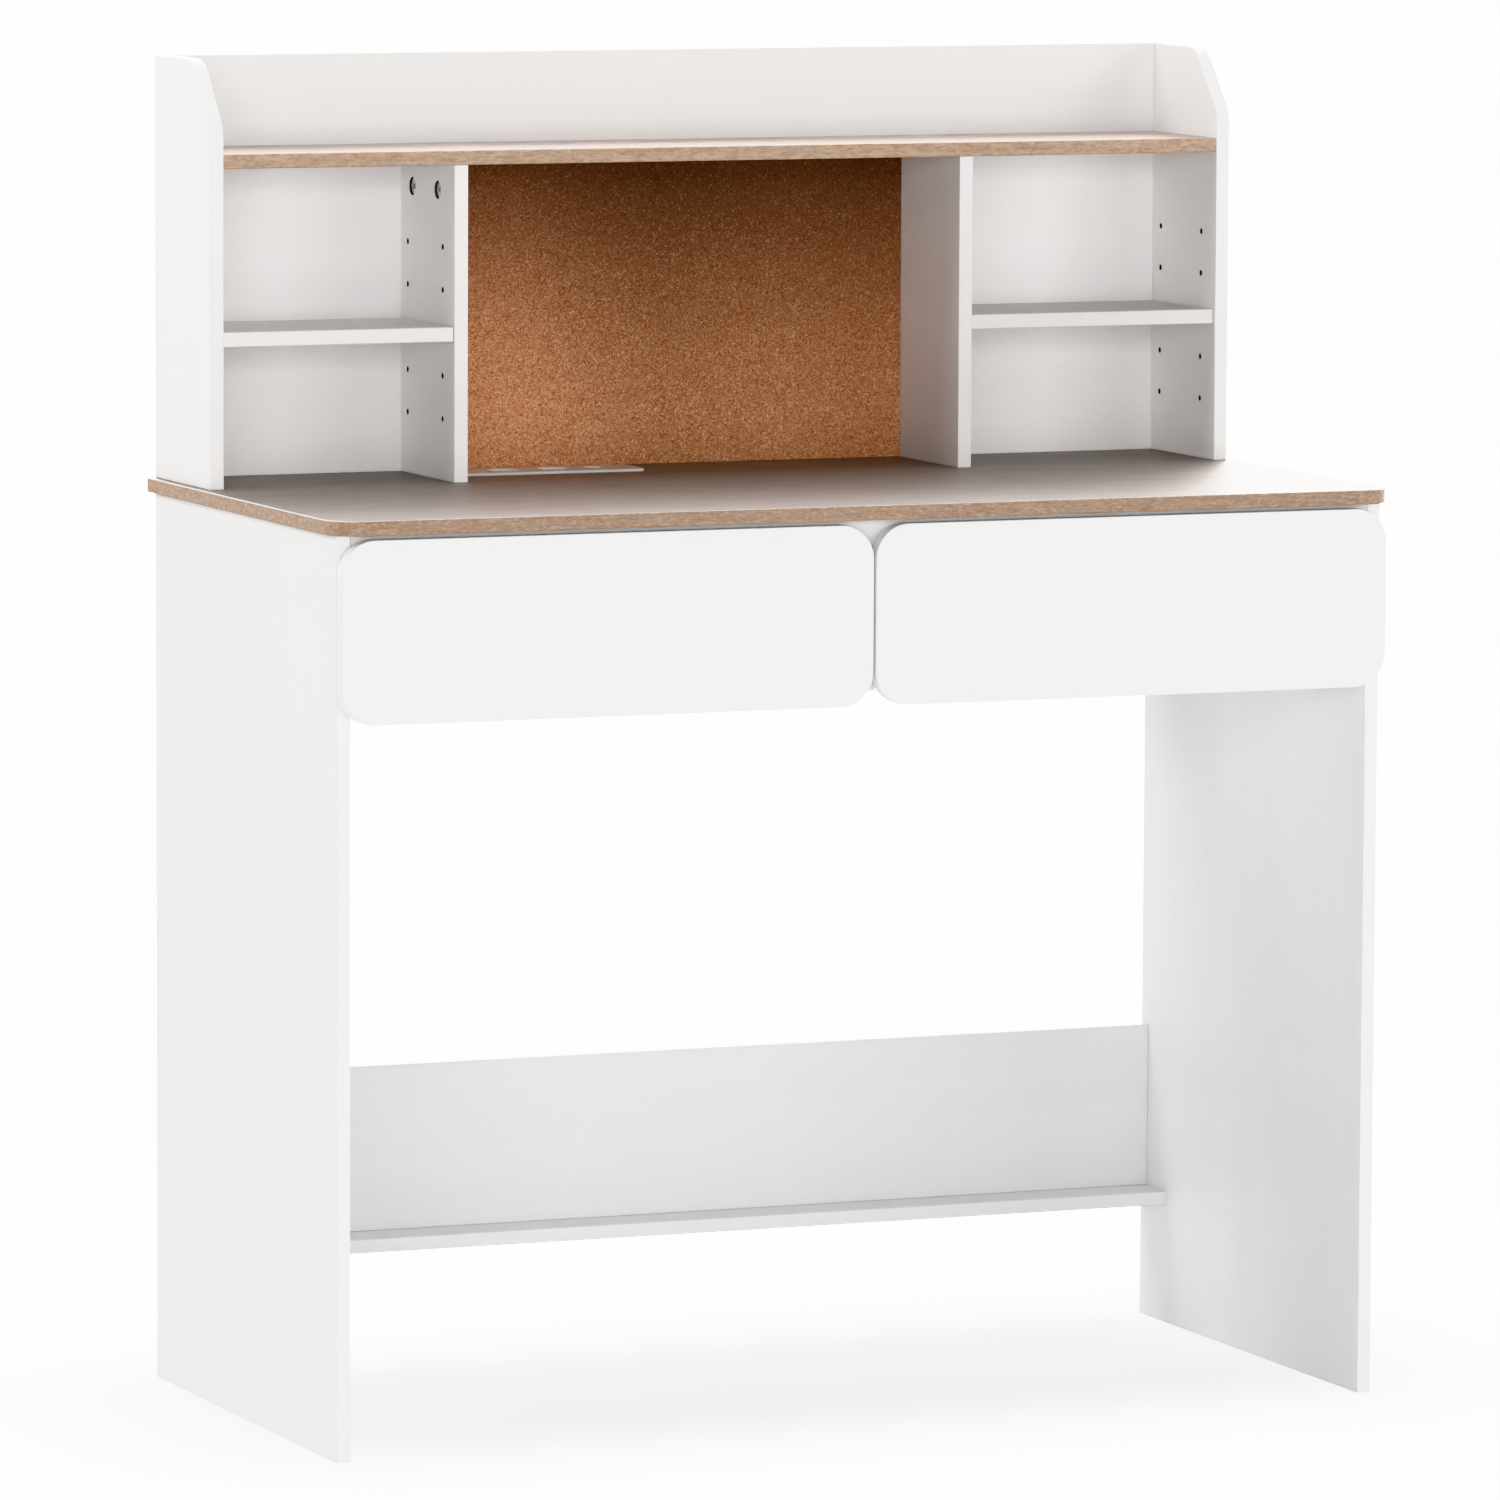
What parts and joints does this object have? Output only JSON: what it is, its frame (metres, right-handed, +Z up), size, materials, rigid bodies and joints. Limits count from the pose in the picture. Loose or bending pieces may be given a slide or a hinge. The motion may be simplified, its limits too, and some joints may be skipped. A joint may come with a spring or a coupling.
{
  "type": "student desk with hutch",
  "caption": "Compact writing desk on two side panels with handleless drawers under an oak-decor desktop and an open hutch with cubbies, a cork pin board and a top shelf.",
  "frame": {"origin": "on the floor under the centre of the whole desk", "axes": "+Z up, +X to the sitter's right, -Y towards the sitter, so the drawers open along -Y"},
  "size_m": [0.924, 0.446, 1.097],
  "materials": {
    "white_laminate": "satin melamine with a faint pressed grain",
    "oak_laminate": "satin oak-decor melamine with a pressed grain",
    "white_hardboard": "painted hardboard",
    "cork": "natural granulated cork, matt",
    "zinc_alloy": "die-cast zinc",
    "plated_steel": "bright zinc plated",
    "slide_steel": "zinc plated, rolled",
    "cage_steel": "plain steel strip",
    "ball_steel": "polished",
    "beech": "fluted beech",
    "clear_silicone": "clear silicone",
    "gloss_white_plastic": "moulded, glossy",
    "socket_plastic": "moulded, glossy",
    "black_plastic": "moulded, fine texture",
    "usb_plastic": "moulded"
  },
  "bodies": {
    "desk": {"cam_bolts": "plated_steel", "cam_locks": "zinc_alloy", "carcass_screws": "plated_steel", "centre_divider": "white_laminate", "cork_board": "cork", "desktop": "oak_laminate", "foot_rail": "white_laminate", "front_rail": "white_laminate", "hutch_back_panel": "white_laminate", "hutch_left_divider": "white_laminate", "hutch_left_side": "white_laminate", "hutch_right_divider": "white_laminate", "hutch_right_side": "white_laminate", "hutch_screws": "plated_steel", "hutch_top_shelf": "oak_laminate", "left_cubby_shelf": "white_laminate", "left_drawer_left_slide_rail": "slide_steel", "left_drawer_right_slide_rail": "slide_steel", "left_side_panel": "white_laminate", "modesty_panel": "white_laminate", "power_clamps": "plated_steel", "power_faceplate": "gloss_white_plastic", "power_housing": "black_plastic", "power_inlet": "black_plastic", "power_sockets": "socket_plastic", "rear_rail": "white_laminate", "right_cubby_shelf": "white_laminate", "right_drawer_left_slide_rail": "slide_steel", "right_drawer_right_slide_rail": "slide_steel", "right_side_panel": "white_laminate", "shelf_pins": "plated_steel", "slide_rail_screws": "plated_steel", "usb_ports": "usb_plastic", "wood_dowels": "beech"},
    "left_drawer": {"left_drawer_back": "white_laminate", "left_drawer_bottom": "white_hardboard", "left_drawer_bumpers": "clear_silicone", "left_drawer_cam_fittings": "zinc_alloy", "left_drawer_dowels": "beech", "left_drawer_front": "white_laminate", "left_drawer_left_runner": "slide_steel", "left_drawer_left_side": "white_laminate", "left_drawer_right_runner": "slide_steel", "left_drawer_right_side": "white_laminate", "left_drawer_screws": "plated_steel"},
    "right_drawer": {"right_drawer_back": "white_laminate", "right_drawer_bottom": "white_hardboard", "right_drawer_bumpers": "clear_silicone", "right_drawer_cam_fittings": "zinc_alloy", "right_drawer_dowels": "beech", "right_drawer_front": "white_laminate", "right_drawer_left_runner": "slide_steel", "right_drawer_left_side": "white_laminate", "right_drawer_right_runner": "slide_steel", "right_drawer_right_side": "white_laminate", "right_drawer_screws": "plated_steel"},
    "left_drawer_ball_cages": {"left_drawer_ball_cages": "cage_steel", "left_drawer_slide_balls": "ball_steel"},
    "right_drawer_ball_cages": {"right_drawer_ball_cages": "cage_steel", "right_drawer_slide_balls": "ball_steel"}
  },
  "joints": [
    {"name": "left_drawer_slide", "type": "slide", "parent": "desk", "child": "left_drawer", "axis": [0, -1, 0], "range_m": [0, 0.22]},
    {"name": "right_drawer_slide", "type": "slide", "parent": "desk", "child": "right_drawer", "axis": [0, -1, 0], "range_m": [0, 0.22]},
    {"name": "left_ball_cages_roll", "type": "slide", "parent": "desk", "child": "left_drawer_ball_cages", "axis": [0, -1, 0], "range_m": [0, 0.11]},
    {"name": "right_ball_cages_roll", "type": "slide", "parent": "desk", "child": "right_drawer_ball_cages", "axis": [0, -1, 0], "range_m": [0, 0.11]}
  ],
  "couplings": [
    {"joint": "left_ball_cages_roll", "follows": "left_drawer_slide", "ratio": 0.5},
    {"joint": "right_ball_cages_roll", "follows": "right_drawer_slide", "ratio": 0.5}
  ]
}
